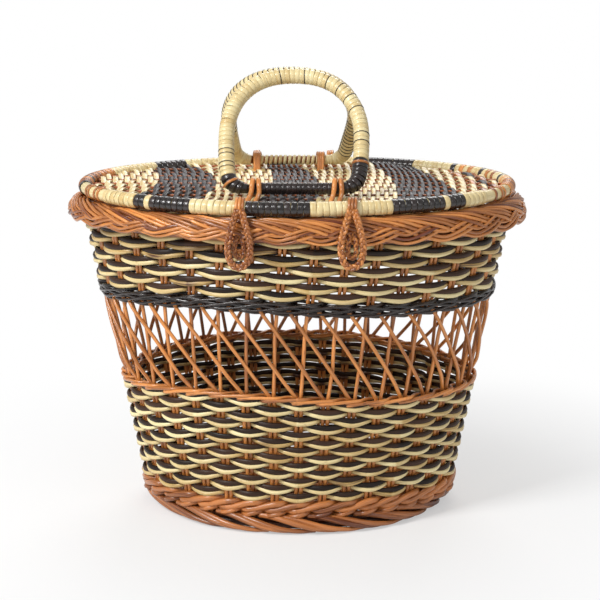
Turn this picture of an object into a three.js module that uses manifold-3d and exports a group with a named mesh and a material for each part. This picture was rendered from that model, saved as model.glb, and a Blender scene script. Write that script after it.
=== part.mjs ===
// Oval willow picnic basket with a hinged lid, two wrapped handles and two braided closures.
// Millimetres, +Z up. The origin is on the floor, under the middle of the basket, and the front faces -Y.
// The wall is real basketry: 36 stake positions, rods that cross over in an open lattice band, and
// weavers that pass in front of one pair of stakes and behind the next.

import * as THREE from 'three';
import { mergeVertices } from 'three/addons/utils/BufferGeometryUtils.js';
import Module from 'manifold-3d';

const wasm = await Module();
wasm.setup();

// Clearances
const seatGap = 0.3;
const turnGap = 0.8;
const pressDepth = 0.2;
const tiltAllowance = 0.5;

// Wall: outer half length and half depth at the floor, and the growth of each per millimetre of height
const floorHalfLength = 158.3;
const floorHalfDepth = 111.6;
const lengthFlare = 0.178;
const depthFlare = 0.1255;

// Stakes: places round the wall, rods side by side in pairs, three places to a panel. The drifts say,
// in places, how far each upright stands from its own place below the open band and at the top.
const stakeCount = 36;
const stakesPerPanel = 3;
const firstStakeOffset = 0.4;
const stakeWidth = 3.2;
const crossingReach = 3;
const stakeDriftBelow = -0.34;
const stakeDriftTop = 0.05;

// Foot border and woven base
const footHeight = 13;
const footFlare = 6.9;
const footInset = 8.5;
const baseThickness = 6;
const baseStickCount = 7;
const baseStickPitch = 34;
const baseStickWidth = 5;
const baseStickDepth = 2;

// Weavers and wales: each row stands on the one below
const rowPitch = 7.75;
const rowSlack = 0.7;
const weaverThickness = 2.8;
const lowerRows = 13;
const upperRows = 7;
const upperWeaveHeight = 62;
const baseWaleRods = 3;
const baseWaleRodHeight = 5.4;
const baseWaleThickness = 3.4;
const brownWaleRods = 2;
const brownWaleRodHeight = 4.4;
const blackWaleRods = 2;
const blackWaleRodHeight = 4.2;
const slimWaleThickness = 2.8;
const openBandHeight = 87;

// Rim border
const borderHeight = 22.7;
const borderFlare = 24.7;
const borderInset = 6;
const borderSideShare = 0.777;

// Lid
const lidRodRadius = 7.25;
const lidOverhang = 6.2;
const lidWeaveThickness = 6;
const lidStickPitch = 23.5;
const lidStickWidth = 3.2;
const lidOpeningWidth = 72;
const lidOpeningPitch = 94;
const lidOpeningRows = 6;
const lidOpeningWall = 4;

// Rear binding rings, which are the hinge
const hingeLeftX = -46;
const hingeRightX = 34;
const bindingRodRadius = 1.8;

// Handles
const handleWidth = 146;
const handleHeight = 124.8;
const handleRodRadius = 7.25;
const handleBarStick = 4;
const barHalfLength = 50;
const archStart = 52;
const archSteps = 10;
const archRoundness = 0.85;
const handleCornerShare = 0.68;
const handleCornerUp = 5;
const handleLegUp = 16;
const handleLegLean = 2;
const frontHandleX = -4.5;
const rearHandleX = -7;
const barCoreRadius = 5.6;
const lashingRodRadius = 1.6;
const lashingArchSteps = 6;
const lashingCorner = 2;
const frontLashings = [-41, 37];
const rearLashings = [-44, 23];

// Braided closures at the front
const closureXs = [-55, 49];
const closureWidth = 27;
const closureDrop = 53;
const closureRodRadius = 3.2;
const closureHeadRadius = 4;
const closureLift = 5;
const becketDrop = 18.5;
const becketWidth = 9;
const becketRodRadius = 2;
const becketRootShare = 0.2;

// Heights, stacked from the floor
const stakeBottom = footHeight + seatGap + (stakeWidth / 2) * lengthFlare;
const baseWaleBottom = footHeight + seatGap;
const lowerWeaveBottom = baseWaleBottom + baseWaleRods * (baseWaleRodHeight + seatGap);
const brownWaleBottom = lowerWeaveBottom + lowerRows * rowPitch;
const brownWaleTop = brownWaleBottom + brownWaleRods * (brownWaleRodHeight + seatGap);
const bendZ = brownWaleTop + stakeWidth;
const blackWaleBottom = brownWaleTop + openBandHeight;
const upperWeaveBottom = blackWaleBottom + blackWaleRods * (blackWaleRodHeight + seatGap);
const upperWeaveTop = upperWeaveBottom + upperWeaveHeight;
const stakeTop = upperWeaveTop;
const borderBottom = upperWeaveTop + seatGap;
const borderTop = borderBottom + borderHeight;
const lidRodZ = borderTop + seatGap + lidRodRadius;
const lidWeaveTop = lidRodZ + lidWeaveThickness / 2;
const lidWeaveBottom = lidRodZ - lidWeaveThickness / 2;
const handleBarY = handleBarStick * lidStickPitch;
const handleBarZ = lidWeaveTop + seatGap + handleRodRadius;

// How far a weaver swings out and in to pass a pair of stakes, for its thickness
const rodSpacing = stakeWidth + seatGap;
const pairHalfWidth = stakeWidth + seatGap / 2;
const shortestPitch = ellipseLength(floorHalfLength, floorHalfDepth) / stakeCount;
const bendAllowance = 0.9;
const pitchSpread = 1.5;
function swingFor(thickness) {
  const passing = stakeWidth / 2 + seatGap + 0.55 * thickness + bendAllowance;
  return passing / (1 - (2 * pairHalfWidth) / (shortestPitch - pitchSpread));
}
const weaverSwing = swingFor(weaverThickness);
const wallInset = weaverSwing + weaverThickness / 2;

// Length round an ellipse
function ellipseLength(halfLength, halfDepth) {
  const h = ((halfLength - halfDepth) / (halfLength + halfDepth)) ** 2;
  return Math.PI * (halfLength + halfDepth) * (1 + (3 * h) / (10 + Math.sqrt(4 - 3 * h)));
}

// Half length and half depth of the stakes' own surface at a height
function stakeHalfLength(z) {
  return floorHalfLength - wallInset + lengthFlare * z;
}

function stakeHalfDepth(z) {
  return floorHalfDepth - wallInset + depthFlare * z;
}

// Angle of each place round the wall, so that the places are evenly spaced along it
const arcSteps = 1440;
const arcLengths = [0];
for (let i = 1; i <= arcSteps; i += 1) {
  const middle = brownWaleTop + openBandHeight / 2;
  const from = -Math.PI / 2 + ((i - 1) / arcSteps) * 2 * Math.PI;
  const to = -Math.PI / 2 + (i / arcSteps) * 2 * Math.PI;
  const dx = stakeHalfLength(middle) * (Math.cos(to) - Math.cos(from));
  const dy = stakeHalfDepth(middle) * (Math.sin(to) - Math.sin(from));
  arcLengths.push(arcLengths[i - 1] + Math.hypot(dx, dy));
}

function placeAngle(place) {
  const turns = Math.floor(place / stakeCount);
  const target = (place / stakeCount - turns) * arcLengths[arcSteps];
  let i = 1;
  while (arcLengths[i] < target) i += 1;
  const share = (target - arcLengths[i - 1]) / (arcLengths[i] - arcLengths[i - 1]);
  return -Math.PI / 2 + ((i - 1 + share) / arcSteps + turns) * 2 * Math.PI;
}

// Level vector that points straight out of the wall at a place
function outwardAt(place, z) {
  const angle = placeAngle(place);
  return new THREE.Vector3(stakeHalfDepth(z) * Math.cos(angle), stakeHalfLength(z) * Math.sin(angle), 0).normalize();
}

// Point of the wall at a place and height
function wallPoint(place, z) {
  const angle = placeAngle(place);
  return new THREE.Vector3(stakeHalfLength(z) * Math.cos(angle), stakeHalfDepth(z) * Math.sin(angle), z);
}

// Direction up the wall at a place
function wallUp(place) {
  const angle = placeAngle(place);
  return new THREE.Vector3(lengthFlare * Math.cos(angle), depthFlare * Math.sin(angle), 1).normalize();
}

// A closed body from corner points and quads or triangles, turned to face outwards
function closedBody(corners, faces) {
  const indices = faces.flatMap((face) => {
    if (face.length === 3) return face;
    return [face[0], face[1], face[2], face[0], face[2], face[3]];
  });
  let volume = 0;
  for (let i = 0; i < indices.length; i += 3) {
    const [a, b, c] = [corners[indices[i]], corners[indices[i + 1]], corners[indices[i + 2]]];
    volume += a.dot(new THREE.Vector3().crossVectors(b, c));
  }
  if (volume < 0) indices.reverse();
  const geometry = new THREE.BufferGeometry();
  geometry.setAttribute('position', new THREE.Float32BufferAttribute(corners.flatMap((p) => [p.x, p.y, p.z]), 3));
  geometry.setIndex(indices);
  return geometry;
}

// A section carried along points with mitred bends; ups keep it upright and sizes scale it
function sweep(points, ups, section, { closed = false, sizes = null } = {}) {
  const count = points.length;
  const corners = [];
  points.forEach((point, i) => {
    const before = closed || i > 0 ? points[(i + count - 1) % count] : null;
    const after = closed || i < count - 1 ? points[(i + 1) % count] : null;
    const arriving = before ? point.clone().sub(before).normalize() : after.clone().sub(point).normalize();
    const leaving = after ? after.clone().sub(point).normalize() : arriving.clone();
    const along = arriving.clone().add(leaving).normalize();
    const side = new THREE.Vector3().crossVectors(along, ups[i]).normalize();
    const up = new THREE.Vector3().crossVectors(side, along);
    const bend = leaving.clone().sub(arriving);
    const stretch = 1 / arriving.dot(along) - 1;
    if (bend.lengthSq() > 1e-12) bend.normalize();
    section.forEach(([u, v]) => {
      const size = sizes ? sizes[i] : 1;
      const offset = side.clone().multiplyScalar(u * size).addScaledVector(up, v * size);
      offset.addScaledVector(bend, offset.dot(bend) * stretch);
      corners.push(point.clone().add(offset));
    });
  });
  const sides = section.length;
  const faces = [];
  const spans = closed ? count : count - 1;
  for (let i = 0; i < spans; i += 1) {
    const next = (i + 1) % count;
    for (let j = 0; j < sides; j += 1) {
      const k = (j + 1) % sides;
      faces.push([i * sides + j, i * sides + k, next * sides + k, next * sides + j]);
    }
  }
  if (!closed) {
    for (let j = 1; j < sides - 1; j += 1) {
      const last = (count - 1) * sides;
      faces.push([0, j + 1, j]);
      faces.push([last, last + j, last + j + 1]);
    }
  }
  return closedBody(corners, faces);
}

function rectangle(width, height) {
  return [[-width / 2, -height / 2], [width / 2, -height / 2], [width / 2, height / 2], [-width / 2, height / 2]];
}

function triangle(width, height) {
  return [[-width / 2, -height / 2], [width / 2, -height / 2], [0, height / 2]];
}

function polygon(radius, sides) {
  return Array.from({ length: sides }, (_, i) => {
    const angle = ((i + 0.5) / sides) * 2 * Math.PI;
    return [radius * Math.cos(angle), radius * Math.sin(angle)];
  });
}

// A ring round the basket from an outline of { halfLength, halfDepth, z } ovals
function ovalRing(outline, steps) {
  const corners = [];
  const faces = [];
  const sides = outline.length;
  for (let i = 0; i < steps; i += 1) {
    const angle = (i / steps) * 2 * Math.PI;
    const next = (i + 1) % steps;
    outline.forEach(({ halfLength, halfDepth, z }, j) => {
      const k = (j + 1) % sides;
      corners.push(new THREE.Vector3(halfLength * Math.cos(angle), halfDepth * Math.sin(angle), z));
      faces.push([i * sides + j, next * sides + j, next * sides + k, i * sides + k]);
    });
  }
  return closedBody(corners, faces);
}

// A flat oval plate between two heights
function ovalPlate(halfLength, halfDepth, bottom, top, steps) {
  const outline = Array.from({ length: steps }, (_, i) => {
    const angle = (i / steps) * 2 * Math.PI;
    return new THREE.Vector2(halfLength * Math.cos(angle), halfDepth * Math.sin(angle));
  });
  const plate = new THREE.ExtrudeGeometry(new THREE.Shape(outline), { depth: top - bottom, bevelEnabled: false });
  return plate.translate(0, 0, bottom);
}

function block(width, depth, height, x, y, z) {
  return new THREE.BoxGeometry(width, depth, height).translate(x, y, z);
}

// A rod bent into a closed loop in a plane across the X axis
function loopAcrossX(x, outline, radius, sides) {
  const points = outline.map(([y, z]) => new THREE.Vector3(x, y, z));
  const ups = points.map(() => new THREE.Vector3(1, 0, 0));
  return sweep(points, ups, polygon(radius, sides), { closed: true });
}

function circleOutline(y, z, radius, steps) {
  return Array.from({ length: steps }, (_, i) => {
    const angle = (i / steps) * 2 * Math.PI;
    return [y + radius * Math.cos(angle), z + radius * Math.sin(angle)];
  });
}

// Boolean joins and cuts
function toSolid(geometry) {
  const bare = geometry.clone();
  bare.deleteAttribute('normal');
  bare.deleteAttribute('uv');
  const merged = mergeVertices(bare, 1e-4);
  return new wasm.Manifold(new wasm.Mesh({
    numProp: 3,
    vertProperties: Float32Array.from(merged.attributes.position.array),
    triVerts: Uint32Array.from(merged.index.array),
  }));
}

function toGeometry(solid) {
  const mesh = solid.getMesh();
  const geometry = new THREE.BufferGeometry();
  geometry.setAttribute('position', new THREE.BufferAttribute(mesh.vertProperties, 3));
  geometry.setIndex(new THREE.BufferAttribute(mesh.triVerts, 1));
  return geometry;
}

function join(...geometries) {
  return toGeometry(geometries.map(toSolid).reduce((whole, piece) => whole.add(piece)));
}

function cut(geometry, ...tools) {
  return toGeometry(tools.map(toSolid).reduce((whole, tool) => whole.subtract(tool), toSolid(geometry)));
}

// Colours read from the photograph
const brownWillow = 0xb4713a;
const paleWillow = 0xd9c48e;
const darkWillow = 0x3f312b;
const blackCane = 0x2a2323;
const creamCane = 0xe0cb94;

const basket = new THREE.Group();

function addPiece(name, geometry, color, roughness, parent = basket) {
  const material = new THREE.MeshStandardMaterial({ color, roughness, metalness: 0 });
  const mesh = new THREE.Mesh(geometry, material);
  mesh.name = name;
  parent.add(mesh);
}

// Foot border: flat underneath, with the stakes and the base standing on it
const ringSteps = 36;

function footBorder() {
  const outline = [
    [-footInset * 0.7, 0],
    [footFlare * 0.65, 0],
    [footFlare, footHeight * 0.3],
    [footFlare, footHeight * 0.7],
    [footFlare * 0.6, footHeight],
    [-footInset * 0.85, footHeight],
    [-footInset, footHeight * 0.5],
  ];
  return ovalRing(outline.map(([out, z]) => ({
    halfLength: stakeHalfLength(0) + out,
    halfDepth: stakeHalfDepth(0) + out,
    z,
  })), ringSteps);
}

// Woven base, with the cross sticks showing as ribs underneath
function basePanel() {
  const inset = swingFor(baseWaleThickness) + baseWaleThickness / 2 + seatGap;
  const bottom = footHeight + seatGap;
  const halfLength = stakeHalfLength(bottom) - inset;
  const halfDepth = stakeHalfDepth(bottom) - inset;
  const panel = ovalPlate(halfLength, halfDepth, bottom, bottom + baseThickness, ringSteps);
  const ribs = [];
  const ribHeight = baseStickDepth + baseThickness / 2;
  for (let i = 0; i < baseStickCount; i += 1) {
    const x = (i - (baseStickCount - 1) / 2) * baseStickPitch;
    const innerHalfLength = stakeHalfLength(0) - footInset - seatGap;
    const innerHalfDepth = stakeHalfDepth(0) - footInset - seatGap;
    const reach = innerHalfDepth * Math.sqrt(1 - ((Math.abs(x) + baseStickWidth) / innerHalfLength) ** 2) - 1;
    ribs.push(block(baseStickWidth, 2 * reach, ribHeight, x, 0, bottom - baseStickDepth + ribHeight / 2));
  }
  return join(panel, ...ribs);
}

// Place of an upright at a height: it rises straight to just above the brown wale, where it bends and
// leans to the right from there
function stakePlace(index, z) {
  const share = Math.max(0, (z - bendZ) / (stakeTop - bendZ));
  return index + firstStakeOffset + stakeDriftBelow + (stakeDriftTop - stakeDriftBelow) * share;
}

// Point of an upright's middle line at a height, moved out of the wall and along it. A share of an
// index means a point between two uprights.
function stakePoint(index, z, out = 0, along = 0) {
  const [from, to] = z < bendZ ? [stakeBottom, bendZ] : [bendZ, stakeTop];
  const point = wallPoint(stakePlace(index, from), from);
  point.lerp(wallPoint(stakePlace(index, to), to), (z - from) / (to - from));
  const outward = outwardAt(stakePlace(index, z), z);
  point.addScaledVector(outward, out);
  point.addScaledVector(new THREE.Vector3(-outward.y, outward.x, 0), along);
  return point;
}

// Middle of the pair, measured along the wall from its upright: below the open band the crossing rod
// stands to the left of the upright, and above it to the right
function pairMiddle(z) {
  return z < blackWaleBottom ? -rodSpacing / 2 : rodSpacing / 2;
}

// A rod woven once round the wall: side(i) tells whether it passes outside or inside position i
function wovenRing(z, height, thickness, side) {
  const swing = swingFor(thickness);
  const points = [];
  const ups = [];
  for (let i = 0; i < stakeCount; i += 1) {
    points.push(stakePoint(i, z, side(i) * swing, pairMiddle(z)));
    ups.push(wallUp(stakePlace(i, z)));
  }
  return sweep(points, ups, triangle(thickness, height), { closed: true });
}

// Rows of weaving from one continuous weaver, a dark rod above a pale one: each row passes outside
// the pairs that the row below passes inside, and at the back the weaver steps up to the next row
function weavingRows(bottom, rows, pitch) {
  const points = [];
  const ups = [];
  for (let row = 0; row < rows; row += 1) {
    for (let i = 0; i < stakeCount; i += 1) {
      const side = (row + i) % 2 === 0 ? 1 : -1;
      const z = bottom + (row + 0.5) * pitch;
      const index = stakeCount / 2 + i;
      points.push(stakePoint(index, z, side * weaverSwing, pairMiddle(z)));
      ups.push(wallUp(stakePlace(index, z)));
    }
  }
  return sweep(points, ups, triangle(weaverThickness, pitch - rowSlack));
}

// One upright
function upright(index) {
  const heights = [stakeBottom, bendZ, stakeTop];
  const points = heights.map((z) => stakePoint(index, z));
  const ups = heights.map((z) => outwardAt(stakePlace(index, z), z));
  return sweep(points, ups, rectangle(stakeWidth, stakeWidth));
}

// One crossing rod: it leaves the right side of its upright under the black wale, passes in front of
// the next two uprights and runs down the left side of the third. It is pressed against uprights of
// its own panel and clears the rest.
function crossingRod(index) {
  const end = index + crossingReach;
  const leaveZ = blackWaleBottom - stakeWidth;
  const samePanel = (i) => Math.floor(i / stakesPerPanel) === Math.floor((index + 1) / stakesPerPanel);
  const liftOver = (i) => (samePanel(i) ? stakeWidth - pressDepth : stakeWidth + 3 * seatGap);
  const firstLift = liftOver(index + 1);
  const secondLift = liftOver(index + 2);
  const points = [stakeTop, leaveZ].map((z) => stakePoint(index, z, 0, rodSpacing));
  const ups = [stakeTop, leaveZ].map((z) => outwardAt(stakePlace(index, z), z));
  const stops = [
    { go: 0.85, lift: firstLift },
    { go: 1.5, lift: (firstLift + secondLift) / 2 },
    { go: 2.15, lift: secondLift },
  ];
  stops.forEach(({ go, lift }) => {
    const z = leaveZ + (bendZ - leaveZ) * (go / crossingReach);
    points.push(stakePoint(index + go, z, lift));
    ups.push(outwardAt(stakePlace(index + go, z), z));
  });
  points.push(...[bendZ, stakeBottom].map((z) => stakePoint(end, z, 0, -rodSpacing)));
  ups.push(...[bendZ, stakeBottom].map((z) => outwardAt(stakePlace(end, z), z)));
  return sweep(points, ups, rectangle(stakeWidth, stakeWidth));
}

// Three uprights with the three crossing rods that cling to them
function stakePanel(panel) {
  const rods = [];
  for (let i = 0; i < stakesPerPanel; i += 1) {
    rods.push(upright(panel * stakesPerPanel + i), crossingRod(panel * stakesPerPanel + i - 1));
  }
  return join(...rods);
}

// Ovals that follow the flare of the border, by how far out of the stakes' line they lie
function borderOval(out, z) {
  const share = out > 0 ? borderSideShare : 1;
  return {
    halfLength: stakeHalfLength(borderBottom) + out,
    halfDepth: stakeHalfDepth(borderBottom) + out * share,
    z,
  };
}

const lidOval = borderOval(lidOverhang, lidRodZ);

// Where the middle of the lid rod lies in Y, for an X, on the front or rear half
function lidRodY(x) {
  return lidOval.halfDepth * Math.sqrt(1 - (x / lidOval.halfLength) ** 2);
}

// The lid turns about a line that is nearest to the lid rod between its two binding rings
const hingeY = (lidRodY(0) + lidRodY(hingeLeftX)) / 2;
const rodOffAxis = Math.max(lidRodY(0) - hingeY, hingeY - lidRodY(hingeLeftX));
const lidSteps = 36;
const lidChord = lidOval.halfDepth * (1 - Math.cos(Math.PI / lidSteps));
const loopSteps = 12;
const loopShrink = Math.cos(Math.PI / loopSteps);
const bindingRadius = (lidRodRadius + rodOffAxis + lidChord + tiltAllowance) / loopShrink + bindingRodRadius;
const closureRingRadius = (lidRodRadius + lidChord + 2 * tiltAllowance) / loopShrink + bindingRodRadius;

function bindingRing(x, clearance = 0) {
  const outline = circleOutline(hingeY, lidRodZ, bindingRadius, loopSteps);
  return loopAcrossX(x, outline, bindingRodRadius + clearance, 4);
}

function closureRing(x, clearance = 0) {
  const outline = circleOutline(-lidRodY(x), lidRodZ, closureRingRadius, loopSteps);
  return loopAcrossX(x, outline, bindingRodRadius + clearance, 4);
}

// A short drum across the X axis, used to clear what turns inside it
function drumAcrossX(fromX, toX, y, z, radius) {
  const drum = new THREE.CylinderGeometry(radius, radius, toX - fromX, 2 * loopSteps);
  drum.rotateZ(Math.PI / 2);
  return drum.translate((fromX + toX) / 2, y, z);
}

// Lower lip and widest line of the border, as shares of its flare and height
const lipOut = 0.72;
const lipUp = 0.18;
const widestUp = 0.48;

// Plaited rim border: flares out over the stakes and carries the lid on its crest
function rimBorder() {
  const outline = [
    [-borderInset, 0.02],
    [borderFlare * 0.16, 0],
    [borderFlare * lipOut, lipUp],
    [borderFlare, widestUp],
    [borderFlare * 0.9, 0.82],
    [borderFlare * 0.48, 1],
    [borderFlare * 0.08, 1],
    [-borderInset, 0.86],
  ];
  const ring = ovalRing(outline.map(([out, share]) => borderOval(out, borderBottom + share * borderHeight)), ringSteps);
  const bindings = [hingeLeftX, hingeRightX].map((x) => bindingRing(x, seatGap));
  const reliefEnd = 4 * bindingRodRadius;
  const reliefRadius = lidRodRadius + lidRodY(0) - hingeY + turnGap;
  const relief = drumAcrossX(hingeLeftX - reliefEnd, hingeRightX + reliefEnd, hingeY, lidRodZ, reliefRadius);
  const pocketHalf = bindingRodRadius + turnGap;
  const pocketRadius = closureRingRadius + bindingRodRadius + turnGap;
  const pockets = closureXs.map((x) => drumAcrossX(x - pocketHalf, x + pocketHalf, -lidRodY(x), lidRodZ, pocketRadius));
  return cut(ring, ...bindings, relief, ...pockets);
}

// Lid frame: the rim rod and the sticks whose ends are let into it
function lidFrame() {
  const points = [];
  const ups = [];
  for (let i = 0; i < lidSteps; i += 1) {
    const angle = (i / lidSteps) * 2 * Math.PI;
    points.push(new THREE.Vector3(lidOval.halfLength * Math.cos(angle), lidOval.halfDepth * Math.sin(angle), lidRodZ));
    ups.push(new THREE.Vector3(0, 0, 1));
  }
  const rim = sweep(points, ups, polygon(lidRodRadius, 6), { closed: true });
  return join(rim, ...lidStickYs().map((y) => {
    const reach = lidOval.halfLength * Math.sqrt(1 - (y / lidOval.halfDepth) ** 2);
    return block(2 * (reach - lidRodRadius / 3), lidStickWidth, lidStickWidth, 0, y, lidRodZ);
  }));
}

// As many sticks on either side of the middle as there is room for in front of the binding rings
function lidStickYs() {
  const room = hingeY - bindingRadius - bindingRodRadius - turnGap - lidStickWidth / 2;
  const eachSide = Math.floor(room / lidStickPitch);
  return Array.from({ length: 2 * eachSide + 1 }, (_, i) => (i - eachSide) * lidStickPitch);
}

// Outline of a lashing, round a handle bar and down through the lid to hold its stick
function lashingOutline(y) {
  const wide = (handleRodRadius + seatGap) / Math.cos(Math.PI / (2 * lashingArchSteps)) + lashingRodRadius;
  const low = lidWeaveBottom - seatGap - lashingRodRadius;
  const arch = Array.from({ length: lashingArchSteps + 1 }, (_, i) => {
    const angle = (i / lashingArchSteps) * Math.PI;
    return [y + wide * Math.cos(angle), handleBarZ + wide * Math.sin(angle)];
  });
  const bend = lashingCorner;
  return [...arch, [y - wide, low + bend], [y - wide + bend, low], [y + wide - bend, low], [y + wide, low + bend]];
}

function lashing(x, y, clearance = 0) {
  return loopAcrossX(x, lashingOutline(y), lashingRodRadius + clearance, 4);
}

// Woven field of the lid, threaded on the sticks and let through by the lashings and rings
function lidWeave() {
  const halfLength = lidOval.halfLength - lidRodRadius - seatGap;
  const halfDepth = lidOval.halfDepth - lidRodRadius - seatGap;
  const field = ovalPlate(halfLength, halfDepth, lidWeaveBottom, lidWeaveTop, lidSteps);
  const tunnel = lidStickWidth + 2 * seatGap;
  const tunnels = lidStickYs().map((y) => block(3 * halfLength, tunnel, tunnel, 0, y, lidRodZ));
  const lashings = [
    ...frontLashings.map((x) => lashing(x, -handleBarY, seatGap)),
    ...rearLashings.map((x) => lashing(x, handleBarY, seatGap)),
  ];
  const rings = [
    ...[hingeLeftX, hingeRightX].map((x) => bindingRing(x, turnGap)),
    ...closureXs.map((x) => closureRing(x, turnGap)),
  ];
  return cut(field, ...tunnels, ...lidOpenings(halfLength, halfDepth), ...lashings, ...rings);
}

// Openings in a plain grid between the sticks, which let air through the field as its fine weave does
function lidOpenings(halfLength, halfDepth) {
  const depth = lidStickPitch - lidStickWidth - 2 * seatGap - 2 * lidOpeningWall;
  const openings = [];
  for (let row = 0; row < lidOpeningRows; row += 1) {
    const y = (row - (lidOpeningRows - 1) / 2) * lidStickPitch;
    const reach = halfLength * Math.sqrt(1 - ((Math.abs(y) + depth / 2) / halfDepth) ** 2);
    const eachSide = Math.floor((reach - lidOpeningWall - lidOpeningWidth / 2) / lidOpeningPitch);
    for (let column = -eachSide; column <= eachSide; column += 1) {
      openings.push(block(lidOpeningWidth, depth, 2 * lidWeaveThickness, column * lidOpeningPitch, y, lidRodZ));
    }
  }
  return openings;
}

// Handle loop in its own plane: the bar along X at the origin, the arch along +Y
function handleLoop(wrapFrom, wrapTo) {
  const half = handleWidth / 2 - handleRodRadius;
  const step = 0.4;
  const cornerX = THREE.MathUtils.lerp(barHalfLength, half, handleCornerShare);
  const right = [[barHalfLength, 0], [cornerX, handleCornerUp], [half - handleLegLean, handleLegUp]];
  const arch = Array.from({ length: archSteps + 1 }, (_, i) => {
    const angle = (i / archSteps) * Math.PI;
    const across = Math.sign(Math.cos(angle)) * Math.abs(Math.cos(angle)) ** archRoundness;
    return [half * across, archStart + (handleHeight - archStart) * Math.sin(angle) ** archRoundness];
  });
  const left = right.map(([x, y]) => [-x, y]).reverse();
  const bar = [[wrapFrom - step, 0, 1], [wrapFrom, 0], [wrapTo, 0], [wrapTo + step, 0, 1]];
  const outline = [...bar, ...right, ...arch, ...left];
  const points = outline.map(([x, y]) => new THREE.Vector3(x, y, 0));
  const sizes = outline.map((_, i) => (i === 1 || i === 2 ? barCoreRadius / handleRodRadius : 1));
  const ups = points.map(() => new THREE.Vector3(0, 0, 1));
  return sweep(points, ups, polygon(handleRodRadius, 6), { closed: true, sizes });
}

// Cane wrapped round the slim middle of a bar
function barWrap(wrapFrom, wrapTo) {
  const ends = [new THREE.Vector3(wrapFrom + seatGap, 0, 0), new THREE.Vector3(wrapTo - seatGap, 0, 0)];
  const longer = [new THREE.Vector3(wrapFrom, 0, 0), new THREE.Vector3(wrapTo, 0, 0)];
  const ups = ends.map(() => new THREE.Vector3(0, 0, 1));
  const outer = sweep(ends, ups, polygon(handleRodRadius, 6));
  const bore = sweep(longer, ups, polygon(barCoreRadius + seatGap / Math.cos(Math.PI / 6), 6));
  return cut(outer, bore);
}

// The handles lean towards each other until their tops meet
const handleLean = Math.acos((handleBarY - handleRodRadius - seatGap / 2) / handleHeight);

function addHandle(name, centreX, barY, tilt, lashings, color) {
  const group = new THREE.Group();
  group.position.set(centreX, barY, handleBarZ);
  group.rotation.x = tilt;
  const clear = lashingRodRadius + turnGap;
  const wrapFrom = lashings[0] - centreX + clear;
  const wrapTo = lashings[1] - centreX - clear;
  addPiece(`${name}_handle`, handleLoop(wrapFrom, wrapTo), creamCane, 0.45, group);
  addPiece(`${name}_bar_wrap`, barWrap(wrapFrom, wrapTo), color, 0.35, group);
  basket.add(group);
}

// Outline of a hanging loop, x across and y down from its top: a round head, straight legs, a round foot
function loopOutline(headRadius, footRadius, drop, headSteps, legSteps, footSteps) {
  const footCentre = drop - footRadius;
  const slant = Math.asin((footRadius - headRadius) / (footCentre - headRadius));
  const quarter = Math.PI / 2 - slant;
  const points = [];
  const arc = (radius, centre, from, to, steps) => {
    for (let i = 0; i <= steps; i += 1) {
      const turn = THREE.MathUtils.lerp(from, to, i / steps);
      points.push(new THREE.Vector2(radius * Math.sin(turn), centre - radius * Math.cos(turn)));
    }
  };
  const leg = (from, to) => {
    for (let i = 1; i < legSteps; i += 1) {
      points.push(from.clone().lerp(to, i / legSteps));
    }
  };
  arc(headRadius, headRadius, -quarter, quarter, headSteps);
  const footStart = new THREE.Vector2(Math.sin(quarter), -Math.cos(quarter)).multiplyScalar(footRadius);
  footStart.y += footCentre;
  leg(points[points.length - 1], footStart);
  arc(footRadius, footCentre, quarter, 2 * Math.PI - quarter, footSteps);
  leg(points[points.length - 1], points[0]);
  return points;
}

// Front of the border at an X, level with its widest line
function borderFrontY(x) {
  const widest = borderOval(borderFlare, borderBottom);
  return widest.halfDepth * Math.sqrt(1 - (x / widest.halfLength) ** 2);
}

// Closure: a ring round the front of the lid rod and a braided tear that hangs over the border
function closure(x) {
  const nearX = Math.abs(x) - closureWidth / 2;
  const hangY = borderFrontY(nearX) + seatGap + closureRodRadius;
  const startY = lidRodY(x) + closureRingRadius + closureRodRadius - bindingRodRadius;
  const overBorder = lidRodZ - borderTop + closureLift;
  const footRadius = closureWidth / 2 - closureRodRadius;
  const points = loopOutline(closureHeadRadius, footRadius, closureDrop, 3, 3, 6).map((point) => {
    const forward = THREE.MathUtils.smoothstep(point.y, 0, overBorder);
    return new THREE.Vector3(x + point.x, -THREE.MathUtils.lerp(startY, hangY, forward), lidRodZ - point.y);
  });
  const ups = points.map(() => new THREE.Vector3(0, -1, 0));
  const tear = sweep(points, ups, polygon(closureRodRadius, 5), { closed: true });
  return join(closureRing(x), tear);
}

// Becket: a short braided loop that hangs from the border behind the closure
function becket(x) {
  const root = becketRoot(x);
  const bend = becketWidth / 2 - becketRodRadius;
  const points = loopOutline(bend, bend, becketDrop, 4, 1, 4).map(
    (point) => new THREE.Vector3(x + point.x, root.y, root.z - point.y),
  );
  const ups = points.map(() => new THREE.Vector3(0, -1, 0));
  return sweep(points, ups, polygon(becketRodRadius, 4), { closed: true });
}

// The becket's root lies just in front of the border, a little above its lower edge
function becketRoot(x) {
  const z = borderBottom + becketRootShare * borderHeight;
  const out = THREE.MathUtils.mapLinear(becketRootShare, lipUp, widestUp, lipOut, 1);
  const surface = borderOval(borderFlare * out, z);
  const y = surface.halfDepth * Math.sqrt(1 - (x / surface.halfLength) ** 2);
  const rise = borderHeight * (widestUp - lipUp);
  const run = borderFlare * borderSideShare * (1 - lipOut);
  const slant = Math.hypot(rise, run) / rise;
  return new THREE.Vector3(x, -(y + slant * (seatGap + becketRodRadius)), z);
}

// Assembly
addPiece('foot_border', footBorder(), brownWillow, 0.55);
addPiece('base_panel', basePanel(), brownWillow, 0.6);

for (let i = 0; i < baseWaleRods; i += 1) {
  const z = baseWaleBottom + i * (baseWaleRodHeight + seatGap) + baseWaleRodHeight / 2;
  const ring = wovenRing(z, baseWaleRodHeight, baseWaleThickness, (stake) => ((stake + i) % 3 === 0 ? -1 : 1));
  addPiece(`base_wale_rod_${i + 1}`, ring, brownWillow, 0.5);
}

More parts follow.
